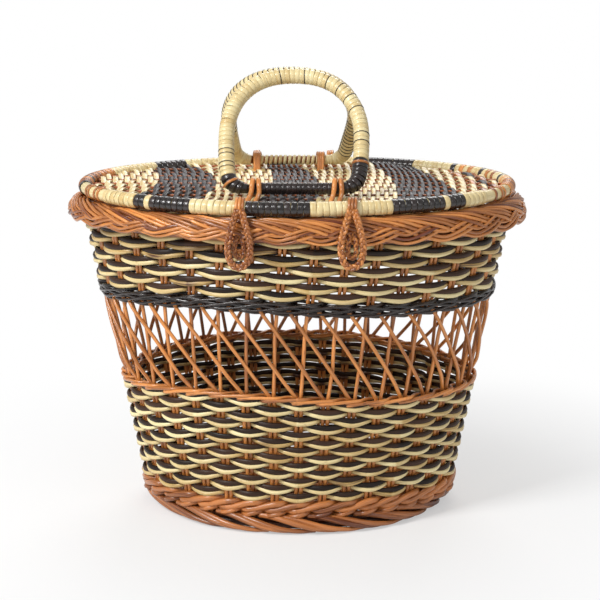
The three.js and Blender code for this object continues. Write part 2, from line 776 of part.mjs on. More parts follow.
for (let i = 0; i < stakeCount / stakesPerPanel; i += 1) {
  addPiece(`stakes_${String(i + 1).padStart(2, '0')}`, stakePanel(i), brownWillow, 0.5);
}

addPiece('lower_weavers', weavingRows(lowerWeaveBottom, lowerRows, rowPitch), paleWillow, 0.5);

function addSlimWale(name, bottom, rods, rodHeight, color) {
  for (let i = 0; i < rods; i += 1) {
    const z = bottom + i * (rodHeight + seatGap) + rodHeight / 2;
    const ring = wovenRing(z, rodHeight, slimWaleThickness, (stake) => ((stake + i) % 2 === 0 ? 1 : -1));
    addPiece(`${name}_rod_${i + 1}`, ring, color, 0.5);
  }
}

addSlimWale('brown_wale', brownWaleBottom, brownWaleRods, brownWaleRodHeight, brownWillow);
addSlimWale('black_wale', blackWaleBottom, blackWaleRods, blackWaleRodHeight, darkWillow);
const upperPitch = upperWeaveHeight / upperRows;
addPiece('upper_weavers', weavingRows(upperWeaveBottom, upperRows, upperPitch), paleWillow, 0.5);
addPiece('rim_border', rimBorder(), brownWillow, 0.45);
addPiece('left_binding_ring', bindingRing(hingeLeftX), brownWillow, 0.5);
addPiece('right_binding_ring', bindingRing(hingeRightX), brownWillow, 0.5);

addPiece('lid_frame', lidFrame(), brownWillow, 0.45);
addPiece('lid_weave', lidWeave(), creamCane, 0.5);
addPiece('front_left_lashing', lashing(frontLashings[0], -handleBarY), brownWillow, 0.5);
addPiece('front_right_lashing', lashing(frontLashings[1], -handleBarY), brownWillow, 0.5);
addPiece('rear_left_lashing', lashing(rearLashings[0], handleBarY), brownWillow, 0.5);
addPiece('rear_right_lashing', lashing(rearLashings[1], handleBarY), brownWillow, 0.5);

addHandle('front', frontHandleX, -handleBarY, handleLean, frontLashings, blackCane);
addHandle('rear', rearHandleX, handleBarY, Math.PI - handleLean, rearLashings, creamCane);

addPiece('left_closure_loop', closure(closureXs[0]), brownWillow, 0.5);
addPiece('right_closure_loop', closure(closureXs[1]), brownWillow, 0.5);
addPiece('left_becket', becket(closureXs[0]), brownWillow, 0.5);
addPiece('right_becket', becket(closureXs[1]), brownWillow, 0.5);

export default basket;
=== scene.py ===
# Oval willow picnic basket: every rod, weaver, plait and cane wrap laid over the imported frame.
# Sizes are in millimetres and become metres when a mesh is made. A place round the wall is counted
# in pairs of uprights, from the middle of the front to the right.

import math

import bpy
import numpy as np
from mathutils import Euler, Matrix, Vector


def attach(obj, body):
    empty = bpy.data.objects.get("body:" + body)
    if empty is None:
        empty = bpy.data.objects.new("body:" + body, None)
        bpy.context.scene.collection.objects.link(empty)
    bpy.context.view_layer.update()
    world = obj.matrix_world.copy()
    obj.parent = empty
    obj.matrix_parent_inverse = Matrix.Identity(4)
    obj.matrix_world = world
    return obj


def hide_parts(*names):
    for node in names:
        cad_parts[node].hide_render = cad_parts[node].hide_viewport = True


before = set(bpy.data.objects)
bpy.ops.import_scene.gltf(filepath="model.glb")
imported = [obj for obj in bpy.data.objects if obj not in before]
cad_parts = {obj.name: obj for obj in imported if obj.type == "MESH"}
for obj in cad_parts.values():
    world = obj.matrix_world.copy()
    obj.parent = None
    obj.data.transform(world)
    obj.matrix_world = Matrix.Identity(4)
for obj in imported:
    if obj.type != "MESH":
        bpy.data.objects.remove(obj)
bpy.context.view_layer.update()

MM = 0.001
ACROSS, INWARD, UP = (1, 0, 0), (0, 1, 0), (0, 0, 1)
rng = np.random.default_rng(11)

# The wall: the solids' sizes, with the rows of weaving a little higher
STAKES = 36
FIRST = 0.4
LENGTH_FLARE, DEPTH_FLARE = 0.178, 0.1255
WALL_INSET = 7.61
FLOOR_LENGTH, FLOOR_DEPTH = 158.3 - WALL_INSET, 111.6 - WALL_INSET
LOWER_BOTTOM, LOWER_ROWS, LOWER_PITCH = 33.0, 13, 8.25
UPPER_BOTTOM, UPPER_ROWS, UPPER_PITCH = 240.9, 7, 8.7
STAKE_BOTTOM, BEND_Z, STAKE_TOP = 13.6, 143.75, 298.55
DRIFT_BELOW, DRIFT_TOP = -0.34, 0.05
BORDER_BOTTOM, BORDER_FLARE = 298.85, 24.7
SIDE_SHARE = 0.777  # how far border and lid stand out at the sides, as a share of the ends

# The lid, its handles and its fastening
LID_Z = 329.1
LID_OVERHANG = 6.2
LID_ROD = 7.25
STICK_PITCH = 23.5
HANDLE_BAR_Y, HANDLE_BAR_Z = 94.0, 339.65
HANDLE_ROD = 7.25
HANDLE_WIDTH, HANDLE_HEIGHT = 146.0, 130.6
GRIP_SWELL = 0.55  # how much thicker the wrapped loop is than its bar
FRONT_HANDLE_X, REAR_HANDLE_X = -4.5, -7.0
FRONT_LASHES, REAR_LASHES = (-41, 37), (-44, 23)
CLOSURES = (-55.0, 49.0)
CLOSURE_WIDTH, CLOSURE_DROP = 27, 53.0
HINGES = (-46.0, 34.0)


def smooth(x):
    """Eases from 0 to 1 as x goes from 0 to 1."""
    x = np.clip(x, 0, 1)
    return x * x * (3 - 2 * x)


def full_turn(steps):
    """Angles of a full turn, without its end."""
    return np.arange(steps) / steps * 2 * math.pi


def run_along(path):
    """Distance along a path at each of its points."""
    return np.concatenate([[0], np.cumsum(np.linalg.norm(np.diff(path, axis=0), axis=1))])


def run_round(length, depth, angles):
    """Distance round an oval at each of the angles."""
    steps = np.hypot(np.diff(length * np.cos(angles)), np.diff(depth * np.sin(angles)))
    return np.concatenate([[0], np.cumsum(steps)])


def half_width(x, length, depth):
    """Half the width of an oval at x, given its half length and half depth."""
    return depth * math.sqrt(1 - (x / length) ** 2)


def read(table, run, places):
    """The columns of a table at places along its run."""
    return np.stack([np.interp(places, run, column) for column in table.T], -1)


def eased(line, width, ends):
    """A line smoothed over a number of its points; ends is how np.pad continues it."""
    window = np.hanning(width) / np.hanning(width).sum()
    return np.convolve(np.pad(line, width // 2, mode=ends), window, "valid")


def sides(along, ups):
    """Unit vectors sideways and up from a path that runs in these directions."""
    along = along / np.linalg.norm(along, axis=1, keepdims=True)
    side = np.cross(along, ups)
    side /= np.linalg.norm(side, axis=1, keepdims=True)
    return side, np.cross(side, along)


def stake_length(z):
    return FLOOR_LENGTH + LENGTH_FLARE * np.asarray(z, float)


def stake_depth(z):
    return FLOOR_DEPTH + DEPTH_FLARE * np.asarray(z, float)


# Angle of each place round the wall, evenly spaced along it at the height of the open band
OPEN_BAND_Z = 184
angles = np.linspace(-math.pi / 2, 1.5 * math.pi, 1441)
lengths = run_round(stake_length(OPEN_BAND_Z), stake_depth(OPEN_BAND_Z), angles)


def place_angle(place):
    """Angle of a place, also of one that is more than a full turn round."""
    place = np.asarray(place, float)
    turns = np.floor(place / STAKES)
    return np.interp((place / STAKES - turns) * lengths[-1], lengths, angles) + turns * 2 * math.pi


def outward_at(place, z):
    """Unit vectors out of the wall."""
    angle = place_angle(place)
    out = [stake_depth(z) * np.cos(angle), stake_length(z) * np.sin(angle), 0 * angle]
    out = np.stack(out, -1)
    return out / np.linalg.norm(out, axis=-1, keepdims=True)


def same_shape(*values):
    return np.broadcast_arrays(*(np.asarray(value, float) for value in values))


def moved(points, outward, out, along):
    """The points moved out of the wall and along it."""
    sideways = np.stack([-outward[:, 1], outward[:, 0], 0 * out], -1)
    return points + outward * out[:, None] + sideways * along[:, None]


def wall_points(place, z, out=0.0, along=0.0):
    """Points at places and heights, moved out of the wall and along it."""
    place, z, out, along = same_shape(place, z, out, along)
    angle = place_angle(place)
    points = np.stack([stake_length(z) * np.cos(angle), stake_depth(z) * np.sin(angle), z], -1)
    return moved(points, outward_at(place, z), out, along)


def stake_place(index, z):
    """Place of an upright: straight up as far as the open band, leaning to the right above."""
    share = np.clip((np.asarray(z, float) - BEND_Z) / (STAKE_TOP - BEND_Z), 0, None)
    return index + FIRST + DRIFT_BELOW + (DRIFT_TOP - DRIFT_BELOW) * share


# How far the rows of the hand-woven wall lie above level, at shares of the half length
LEVEL_X = (-1.0, -0.8, -0.5, -0.2, 0.0, 0.3, 0.6, 1.0)
LEVEL_FRONT = (-4.5, -1.0, 3.0, 1.5, -0.8, -4.2, -6.0, -7.0)
LEVEL_BEHIND = (-4.5, 1.0, 4.5, 4.5, 4.5, 3.5, 0.0, -7.0)
# How far the left end of the upper wall and of the border stands out beyond the oval
LEFT_BULGE, BORDER_BULGE = 4.2, 3.4


def row_level(angle, z):
    """Rise of the rows from level at an angle round the wall, less near the foot."""
    front = np.interp(np.cos(angle), LEVEL_X, LEVEL_FRONT)
    behind = np.interp(np.cos(angle), LEVEL_X, LEVEL_BEHIND)
    level = np.where(np.sin(angle) > 0, behind, front)
    return level * np.where(level > 0, smooth((z - 15) / 50), smooth((z - 50) / 90))


def left_end(angle):
    """1 at the left end of an oval, fading to 0 on its front and back."""
    return np.clip(-np.cos(angle), 0, 1) ** 4


def stake_points(index, z, out=0.0, along=0.0):
    """Points on the uprights' middle lines or between them, moved out of the wall and along it."""
    index, z, out, along = same_shape(index, z, out, along)
    low = z < BEND_Z
    start, end = np.where(low, STAKE_BOTTOM, BEND_Z), np.where(low, BEND_Z, STAKE_TOP)
    share = ((z - start) / (end - start))[:, None]
    points = wall_points(stake_place(index, start), start) * (1 - share)
    points = points + wall_points(stake_place(index, end), end) * share
    place = stake_place(index, z)
    points = moved(points, outward_at(place, z), out, along)
    angle = place_angle(place)
    points[:, 2] += row_level(angle, z)
    points[:, 0] -= LEFT_BULGE * smooth((z - 150) / 90) * left_end(angle)
    return points


# Sections of rods and strips
def disc(radius, corners=8, squash=1.0):
    turn = full_turn(corners)
    return np.stack([radius * np.cos(turn), radius * squash * np.sin(turn)], -1)


def flat(width, thickness):
    """A flat strip with a slightly crowned face and soft edges."""
    w, t = width / 2, thickness / 2
    return np.array([[-w, -0.6 * t], [-w, 0.2 * t], [-0.72 * w, 0.85 * t], [0, t],
                     [0.72 * w, 0.85 * t], [w, 0.2 * t], [w, -0.6 * t], [0, -t]])


def wobble(count, size, knots):
    """A smooth closed random line."""
    values = rng.normal(0, size, knots)
    places = np.arange(count) / count * knots
    return np.interp(places, np.arange(knots + 1), np.append(values, values[0]))


class Rods:
    """Gathers the rods of one piece, each with its own tone and with a grain that runs along it."""

    def __init__(self):
        self.co, self.faces, self.grain, self.tone, self.kinds = [], [], [], [], []
        self.count = 0

    def add(self, points, ups, section, scale=1.0, closed=False, tone=None, kind=0):
        """Lays a section along points; kind is the number of its material in the piece."""
        points = np.asarray(points, float)
        scale = np.broadcast_to(np.asarray(scale, float), (len(points),))
        ups = np.broadcast_to(np.asarray(ups, float), points.shape)
        if closed:
            along = np.roll(points, -1, 0) - np.roll(points, 1, 0)
        else:
            points, ups, scale = self.round_ends(points, ups, scale, np.abs(section).max())
            along = np.gradient(points, axis=0)
        side, up = sides(along, ups)
        n, m = len(points), len(section)
        offsets = side[:, None] * section[None, :, :1] + up[:, None] * section[None, :, 1:]
        co = points[:, None] + offsets * scale[:, None, None]
        run = run_along(points) + rng.uniform(0, 4000)
        grain = np.concatenate([
            np.broadcast_to(run[:, None, None], (n, m, 1)),
            np.broadcast_to(section[None], (n, m, 2)) + rng.uniform(0, 50),
        ], -1)
        tone = rng.uniform(0, 1) if tone is None else tone
        i = np.arange(n if closed else n - 1)[:, None]
        j = np.arange(m)[None]
        i2, j2 = (i + 1) % n, (j + 1) % m
        quads = np.stack([i * m + j, i * m + j2, i2 * m + j2, i2 * m + j], -1).reshape(-1, 4)
        faces = (quads + self.count).tolist()
        if not closed:
            last = self.count + (n - 1) * m
            faces.append(list(range(self.count, self.count + m)))
            faces.append(list(reversed(range(last, last + m))))
        self.faces.extend(faces)
        self.kinds.append(np.full(len(faces), kind))
        self.co.append(co.reshape(-1, 3))
        self.grain.append(grain.reshape(-1, 3))
        self.tone.append(np.broadcast_to(np.reshape(tone, (-1, 1)), (n, m)).reshape(-1))
        self.count += n * m

    @staticmethod
    def round_ends(points, ups, scale, radius):
        """Adds two points at each end, where the rod tapers off."""
        first = (points[1] - points[0]) / np.linalg.norm(points[1] - points[0])
        last = (points[-1] - points[-2]) / np.linalg.norm(points[-1] - points[-2])
        r0, r1 = radius * scale[0], radius * scale[-1]
        start = [points[0] - first * 0.5 * r0, points[0] - first * 0.32 * r0]
        end = [points[-1] + last * 0.32 * r1, points[-1] + last * 0.5 * r1]
        points = np.concatenate([start, points, end])
        ups = np.concatenate([ups[:1], ups[:1], ups, ups[-1:], ups[-1:]])
        start = [0.45 * scale[0], 0.8 * scale[0]]
        end = [0.8 * scale[-1], 0.45 * scale[-1]]
        return points, ups, np.concatenate([start, scale, end])

    def piece(self, name, body, slot, materials, nodes):
        """Makes the mesh, puts it on its body and lets it stand for its CAD nodes."""
        mesh = bpy.data.meshes.new(name)
        mesh.from_pydata((np.concatenate(self.co) * MM).tolist(), [], self.faces)
        mesh.polygons.foreach_set("use_smooth", np.ones(len(mesh.polygons), bool))
        kinds = np.concatenate(self.kinds).astype(np.int32)
        mesh.polygons.foreach_set("material_index", kinds)
        for material in materials:
            mesh.materials.append(material)
        grain = mesh.attributes.new("grain", "FLOAT_VECTOR", "POINT")
        grain.data.foreach_set("vector", np.concatenate(self.grain).astype(np.float32).ravel())
        tone = mesh.attributes.new("tone", "FLOAT", "POINT")
        tone.data.foreach_set("value", np.concatenate(self.tone).astype(np.float32))
        mesh.validate()
        piece = bpy.data.objects.new(name, mesh)
        bpy.context.scene.collection.objects.link(piece)
        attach(piece, body)
        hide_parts(*nodes)


# Materials
def linear(red, green, blue):
    """A colour as the shaders take it, from channels of 0 to 255."""
    channels = [c / 255 for c in (red, green, blue)]
    return [c / 12.92 if c <= 0.04045 else ((c + 0.055) / 1.055) ** 2.4
            for c in channels] + [1.0]


def new_material(name):
    material = bpy.data.materials.new(name)
    material.use_nodes = True
    tree = material.node_tree
    return material, tree.nodes, tree.links, tree.nodes["Principled BSDF"]


def fibre(name, dark, light, deep=None, rough=0.42, coat=0.25, streaks=0.55, tones=0.9, spots=0.5,
          gloss=0.5):
    """Willow or cane: its tone differs from rod to rod, with grain along the rod, blemishes and a
    soft sheen. deep is the colour of the darkest tones."""
    material, nodes, links, shader = new_material(name)
    grain = nodes.new("ShaderNodeAttribute")
    grain.attribute_name = "grain"
    tone = nodes.new("ShaderNodeAttribute")
    tone.attribute_name = "tone"

    def noise(stretch, detail=3.0):
        scaled = nodes.new("ShaderNodeVectorMath")
        scaled.operation = "MULTIPLY"
        scaled.inputs[1].default_value = stretch
        links.new(grain.outputs["Vector"], scaled.inputs[0])
        texture = nodes.new("ShaderNodeTexNoise")
        texture.inputs["Scale"].default_value = 1.0
        texture.inputs["Detail"].default_value = detail
        links.new(scaled.outputs[0], texture.inputs["Vector"])
        return texture.outputs["Fac"]

    def spread(socket, to_low, to_high, low=0.3, high=0.7):
        """Maps a value, here mostly noise that lies between 0.3 and 0.7, to another range."""
        node = nodes.new("ShaderNodeMapRange")
        values = {"From Min": low, "From Max": high, "To Min": to_low, "To Max": to_high}
        for key, value in values.items():
            node.inputs[key].default_value = value
        links.new(socket, node.inputs["Value"])
        return node.outputs[0]

    def total(first, second):
        node = nodes.new("ShaderNodeMath")
        node.operation = "ADD"
        links.new(first, node.inputs[0])
        links.new(second, node.inputs[1])
        return node.outputs[0]

    streak = noise((0.035, 1.1, 1.1))
    drift = noise((0.012, 0.02, 0.02), 1.0)
    spot = noise((0.16, 0.45, 0.45), 2.0)
    fine = noise((0.12, 3.2, 3.2), 2.0)
    own = spread(tone.outputs["Fac"], 0.5 - tones / 2, 0.5 + tones / 2, 0, 1)
    share = total(total(own, spread(streak, -streaks / 2, streaks / 2)), spread(drift, -0.22, 0.22))
    ramp = nodes.new("ShaderNodeValToRGB")
    ramp.color_ramp.elements[0].color = linear(*dark)
    ramp.color_ramp.elements[1].color = linear(*light)
    if deep:
        ramp.color_ramp.elements[0].position = 0.3
        ramp.color_ramp.elements.new(0.05).color = linear(*deep)
    links.new(share, ramp.inputs["Fac"])
    blemish = nodes.new("ShaderNodeMix")
    blemish.data_type = "RGBA"
    blemish.blend_type = "MULTIPLY"
    links.new(spread(spot, 0.0, spots, 0.64, 0.74), blemish.inputs["Factor"])
    links.new(ramp.outputs["Color"], blemish.inputs["A"])
    blemish.inputs["B"].default_value = (0.33, 0.2, 0.12, 1)
    links.new(blemish.outputs["Result"], shader.inputs["Base Color"])
    links.new(spread(streak, rough - 0.1, rough + 0.12), shader.inputs["Roughness"])
    shader.inputs["Coat Weight"].default_value = coat
    shader.inputs["Specular IOR Level"].default_value = gloss
    shader.inputs["Coat Roughness"].default_value = 0.22
    relief = nodes.new("ShaderNodeBump")
    relief.inputs["Strength"].default_value = 0.35
    relief.inputs["Distance"].default_value = 0.0004
    links.new(total(fine, spread(streak, 0.0, 1.2)), relief.inputs["Height"])
    links.new(relief.outputs["Normal"], shader.inputs["Normal"])
    return material


brown = fibre("brown_willow", (104, 42, 9), (232, 152, 78), rough=0.34, coat=0.5)
# A darker copy of the brown willow for the foot and the base wale: painted shade on the low parts
# of the basket
shaded_brown = fibre("shaded_brown_willow", (94, 42, 12), (204, 128, 68), rough=0.36, coat=0.45)
# The pale willow's deep colour is both the real brown stretch of one row and painted shade where
# its rods pass behind the pairs
pale = fibre("pale_willow", (200, 166, 102), (246, 230, 176), deep=(88, 54, 32), streaks=0.3,
             tones=0.8, spots=0.4)
dark_rod = fibre("dark_willow", (22, 11, 6), (66, 42, 28), rough=0.46, coat=0.06, spots=0.2,
                 gloss=0.28)
black_rod = fibre("black_willow", (14, 9, 8), (50, 36, 30), rough=0.28, coat=0.5, spots=0.2)
cream_cane = fibre("cream_cane", (208, 174, 108), (248, 234, 184), rough=0.32, coat=0.45,
                   streaks=0.5, tones=0.5, spots=0.25)
black_cane = fibre("black_cane", (14, 9, 8), (44, 31, 28), rough=0.24, coat=0.7, spots=0.15)
slate_cane = fibre("slate_cane", (30, 26, 27), (84, 78, 80), rough=0.46, coat=0.12, spots=0.15,
                   gloss=0.35)
stick_rod = fibre("stick_willow", (70, 32, 14), (186, 104, 56))

# Foot border: thick rods that start in pairs under the base wale and slant down to the right, over
# two rings
FOOT_ROD = 2.95
FOOT_RINGS = ((4.5, -3.0, 8.0), (11.5, -3.6, 3.0))  # height, how far out, how much less at the ends
ROUND = np.linspace(0, STAKES, 145)[:-1]
foot = Rods()
for pair in range(STAKES // 2):
    for second, late in enumerate((0.0, 0.62)):
        t = np.linspace(0, 1, 34)
        span = rng.uniform(3.5, 3.9)
        place = FIRST + 2 * pair + late + rng.uniform(-0.08, 0.08) + span * t
        z = 3.0 + (13.4 - 1.2 * second) * (1 - smooth(t * 1.02)) ** 1.15 - 0.4 * second
        out = 1.4 + 3.6 * np.sin(math.pi * np.clip(t + 0.08, 0, 1)) ** 0.6 - 1.6 * t ** 6
        ends = np.abs(np.cos(place_angle(place))) ** 3
        out = out - 9.0 * smooth(t) * ends + 9.8 * smooth(1.5 * t) * (1 - ends) ** 2
        scale = np.interp(t, [0, 0.35, 1], [1.0, 1.02, 0.62])
        points = wall_points(place, np.maximum(z, 2.9 * scale), out)
        foot.add(points, UP, disc(FOOT_ROD, 10), scale)
# The two rings take the darkest tone of the stick willow: painted shade in the gaps between the
# foot rods
for z, out, less in FOOT_RINGS:
    out = out - less * np.abs(np.cos(place_angle(ROUND))) ** 3
    foot.add(wall_points(ROUND, z, out), UP, disc(4.0), closed=True, tone=0.0, kind=1)
foot.piece("foot_rods", "basket", "brown_willow", [shaded_brown, stick_rod], ["foot_border"])

# Woven base on its cross sticks
BASE_Z = 16.6
BASE_LENGTH, BASE_DEPTH = 143.0, 95.8
CROSS_STICKS, CROSS_PITCH = 7, 34.0
BASE_PITCH = 4.6
base = Rods()
for i in range(CROSS_STICKS):
    x = (i - CROSS_STICKS // 2) * CROSS_PITCH
    reach = half_width(x, BASE_LENGTH, BASE_DEPTH) - 2
    y = np.linspace(-reach, reach, 24)
    for shift in (-2.6, 2.6):
        points = np.stack([x + shift + 0 * y, y, BASE_Z - 1.2 + 0 * y], -1)
        base.add(points, UP, disc(2.4))
rows = int(2 * BASE_DEPTH / BASE_PITCH)
for row in range(rows):
    y = (row - (rows - 1) / 2) * BASE_PITCH
    reach = half_width(y, BASE_DEPTH, BASE_LENGTH) - 1
    x = np.linspace(-reach, reach, 110)
    lift = np.cos(math.pi * (x / CROSS_PITCH + row)) * 2.4
    points = np.stack([x, y + 0 * x, BASE_Z + lift], -1)
    base.add(points, UP, disc(2.25, 7), tone=rng.uniform(0, 0.8))
base.piece("base_weave", "basket", "brown_willow", [brown], ["base_panel"])


PAIR_SHIFT = 1.75  # from the straight rod of a pair to where the weaving takes its middle


def pair_shift(z):
    """Shift of the pairs' middles along the wall, below the open band and above it."""
    return -PAIR_SHIFT if z < OPEN_BAND_Z else PAIR_SHIFT


# Wales: ropes of rods that are twisted round each other as they pass in front of the pairs and
# behind them. Of each rope: its height, how far its rods rise and fall, how far out they swing,
# their radius, number, tones and corners, and the direction of the twist.
WALES = (
    ("base_wale", "brown_willow", shaded_brown, [f"base_wale_rod_{i}" for i in (1, 2, 3)], (
        (25.6, 7.4, 5.0, 3.15, 3, (0.4, 1.0), 9, 1),
        (18.2, 4.4, 6.6, 2.6, 2, (0.2, 0.8), 8, 1))),
    ("brown_wale", "brown_willow", brown, ["brown_wale_rod_1", "brown_wale_rod_2"], (
        (139.6, 3.2, 5.6, 1.7, 3, (0.4, 1.0), 7, 1),
        (137.4, 2.6, 5.9, 1.4, 2, (0.3, 0.9), 7, 1))),
    ("black_wale", "dark_willow", black_rod, ["black_wale_rod_1", "black_wale_rod_2"], (
        (237.6, 3.0, 5.2, 1.8, 2, (0.0, 0.8), 7, 1),
        (234.2, 4.4, 5.6, 1.6, 3, (0.0, 0.7), 7, -1),
        (231.0, 4.0, 5.3, 1.6, 2, (0.0, 0.9), 7, 1),
        (227.2, 2.6, 5.0, 1.3, 2, (0.1, 1.0), 6, -1),
        (232.6, 8.4, 6.4, 1.15, 4, (0.1, 1.0), 6, 1))),
)


def wale(rods, z, height, swing, radius, count, tones, corners, lean):
    """One rope; each of its rods passes behind every count-th pair, and in front of the others."""
    per_stake = 10
    steps = STAKES * per_stake
    q = np.arange(steps) / per_stake
    for k in range(count):
        u = np.mod((q - k) / count, 1)
        inside = np.exp(-((np.minimum(u, 1 - u) * count) / 0.62) ** 4)
        out = swing * (1 - 1.9 * inside)
        rise = -lean * np.sin(2 * math.pi * u) * height / 2
        tone = np.repeat(rng.uniform(*tones, STAKES // count), per_stake * count)
        middle = z + rise + wobble(steps, 0.25, 60)
        points = stake_points(q, middle, out + wobble(steps, 0.2, 50), pair_shift(z))
        scale = 1 + wobble(steps, 0.06, 40)
        rods.add(points, UP, disc(radius, corners), scale, closed=True, tone=tone)


for name, slot, willow, nodes, ropes in WALES:
    rods = Rods()
    for rope in ropes:
        wale(rods, *rope)
    rods.piece(name, "basket", slot, [willow], nodes)

# Stakes: one rod of each pair runs straight up, the other crosses over in the open band and joins
# the pair three places away
CROSS_BOTTOM, CROSS_TOP, CROSS_PAIRS = 141, 238, 3
FOOT_Z = 14
ROD_SPACING = 4.1  # between the middles of the two rods of a pair
spacing = ROD_SPACING / (lengths[-1] / STAKES)
straight_z = np.concatenate([np.linspace(FOOT_Z, 134, 14), np.linspace(CROSS_BOTTOM, 226, 18),
                             np.linspace(234, STAKE_TOP, 8)])
low_z, high_z = np.linspace(FOOT_Z, 140, 14), np.linspace(240, STAKE_TOP, 8)
cross = np.linspace(0, 1, 30)
cross_z = CROSS_BOTTOM + (CROSS_TOP - CROSS_BOTTOM) * cross
stakes = Rods()
for i in range(STAKES):
    sway = [0, rng.normal(0, 0.7), rng.normal(0, 0.7), 0]
    along = np.interp(straight_z, [CROSS_BOTTOM, 230], [0.45, -0.45])
    along = along + np.interp(straight_z, [CROSS_BOTTOM, 170, 200, 226], sway)
    scale = np.interp(straight_z, [FOOT_Z, CROSS_BOTTOM, 300], [1.08, 0.97, 0.97])
    stakes.add(stake_points(i, straight_z, 0, along), outward_at([i + FIRST], 150)[0], disc(1.9),
               scale, tone=rng.uniform(0.35, 0.95))
    start, end = spacing, CROSS_PAIRS - spacing
    bow = 0.05 * rng.normal() * np.sin(math.pi * cross)
    cross_index = i + end + (start - end) * cross + bow
    lift = 3.9 * smooth(cross / 0.2) * smooth((1 - cross) / 0.2)
    lift = lift + rng.normal(0, 0.25) * np.sin(3 * math.pi * cross)
    points = np.concatenate([
        stake_points(i + CROSS_PAIRS, low_z, 0, -ROD_SPACING),
        stake_points(cross_index, cross_z, lift),
        stake_points(i, high_z, 0, ROD_SPACING),
    ])
    scale = np.interp(points[:, 2], [FOOT_Z, CROSS_BOTTOM, 190, 300], [1.02, 1.0, 0.94, 0.92])
    stakes.add(points, outward_at([i + FIRST + CROSS_PAIRS / 2], 180)[0], disc(1.95), scale,
               tone=rng.uniform(0.45, 1.0))
stakes.piece("stakes", "basket", "brown_willow", [brown], [f"stakes_{i:02d}" for i in range(1, 13)])

# Weaving: in every row a dark rod lies on a pale one, over one pair and behind the next. All the
# curves run from the pair that the row passes in front of to the one that it passes behind.
WAY = (0, 0.16, 0.5, 0.72, 0.86, 1.0)
OUT = (5.3, 5.2, 3.3, 0.4, -3.2, -4.7)
PALE_LEVEL = (-0.47, -0.44, -0.27, -0.15, -0.17, -0.24)
DARK_LEVEL = (0.12, 0.12, 0.16, 0.22, 0.25, 0.27)
DARK_SIZE = (1.0, 1.0, 0.94, 0.88, 0.9, 0.92)
SECTION_PITCH = 7.75  # the pitch of rows for which the sections have their own size
BROWN_START, BROWN_END = 27.4, 35.4  # the places between which a brown row shows


def weaving(rods, bottom, rows, pitch, first=0, rise=1.0, brown_row=None):
    """first is the pair that the lowest row passes in front of; rise tells how much the pale rods
    curve; brown_row is pale except for a brown stretch."""
    per_stake = 12
    steps = STAKES * per_stake
    q = np.arange(steps) / per_stake

    def curve(values, way):
        return eased(np.interp(way, WAY, values), 7, "wrap")

    for row in range(rows):
        middle = bottom + (row + 0.5) * pitch
        way = np.abs(np.mod(q + row + first + 1, 2) - 1)
        for dark in (False, True):
            knots = rng.uniform(0, 1, 9) if dark else rng.uniform(0.35, 1.0, 9)
            tone = knots[(np.arange(steps) * 9 // steps)] + wobble(steps, 0.07, 90)
            if dark:
                level = curve(DARK_LEVEL, way) * pitch
                out = curve(OUT, way) - 0.5
                size = curve(DARK_SIZE, way)
                section = disc(1.75, squash=1.5)
            else:
                level = ((curve(PALE_LEVEL, way) + 0.3) * rise - 0.3) * pitch
                out = curve(OUT, way) + 0.2
                size = 1.0 - 0.06 * smooth(way / 0.8)
                section = disc(1.8, squash=1.2)
                if row == brown_row:
                    stretch = (q > BROWN_START) & (q < BROWN_END)
                    tone = np.where(stretch, 0.21 + 0.2 * (tone - 0.5) ** 2, tone)
                # Painted shade: the pale rod turns towards dark brown where it passes behind a
                # pair, into the shade inside the basket
                tone = tone * smooth((0.9 - way) / 0.24)
            level = middle + level + wobble(steps, 0.22, 72)
            points = stake_points(q, level, out + wobble(steps, 0.15, 72), pair_shift(middle))
            rods.add(points, UP, section * pitch / SECTION_PITCH,
                     size * (1 + wobble(steps, 0.05, 60)), closed=True, tone=np.clip(tone, 0, 1),
                     kind=1 if dark else 0)


lower = Rods()
weaving(lower, LOWER_BOTTOM, LOWER_ROWS, LOWER_PITCH)
lower.piece("lower_weaving", "basket", "pale_willow", [pale, dark_rod], ["lower_weavers"])
upper = Rods()
weaving(upper, UPPER_BOTTOM, UPPER_ROWS, UPPER_PITCH, first=1, rise=0.75, brown_row=5)
upper.piece("upper_weaving", "basket", "pale_willow", [pale, dark_rod], ["upper_weavers"])

# Rim border: five bundles of three rods, plaited over its profile. The profile runs from its inner
# top edge over the crest to its lower edge: distance out of the uprights' oval, and height.
PROFILE = np.array([[-4.5, 314.5], [-2.5, 317.6], [3.5, 318.8], [11.3, 318.2], [18.2, 315.2],
                    [21.8, 309.2], [21.9, 303.2], [19.0, 298.9], [11.0, 297.8]])
# How far its lower edge hangs below the profile, at shares of the half length
DIP_FRONT_X, DIP_FRONT = (-0.5, 0.0, 0.4, 0.8, 1.0), (0.0, 2.3, 4.6, 5.0, 4.0)
DIP_BEHIND_X, DIP_BEHIND = (0.5, 1.0), (0.0, 4.0)
profile_run = run_along(PROFILE)
profile_run /= profile_run[-1]
fine_run = np.linspace(0, 1, 201)
fine_profile = np.stack([eased(line, 23, "edge")
                         for line in read(PROFILE, profile_run, fine_run).T], -1)
profile_normal = np.gradient(fine_profile, axis=0)
profile_normal = np.stack([-profile_normal[:, 1], profile_normal[:, 0]], -1)
profile_normal /= np.linalg.norm(profile_normal, axis=1, keepdims=True)


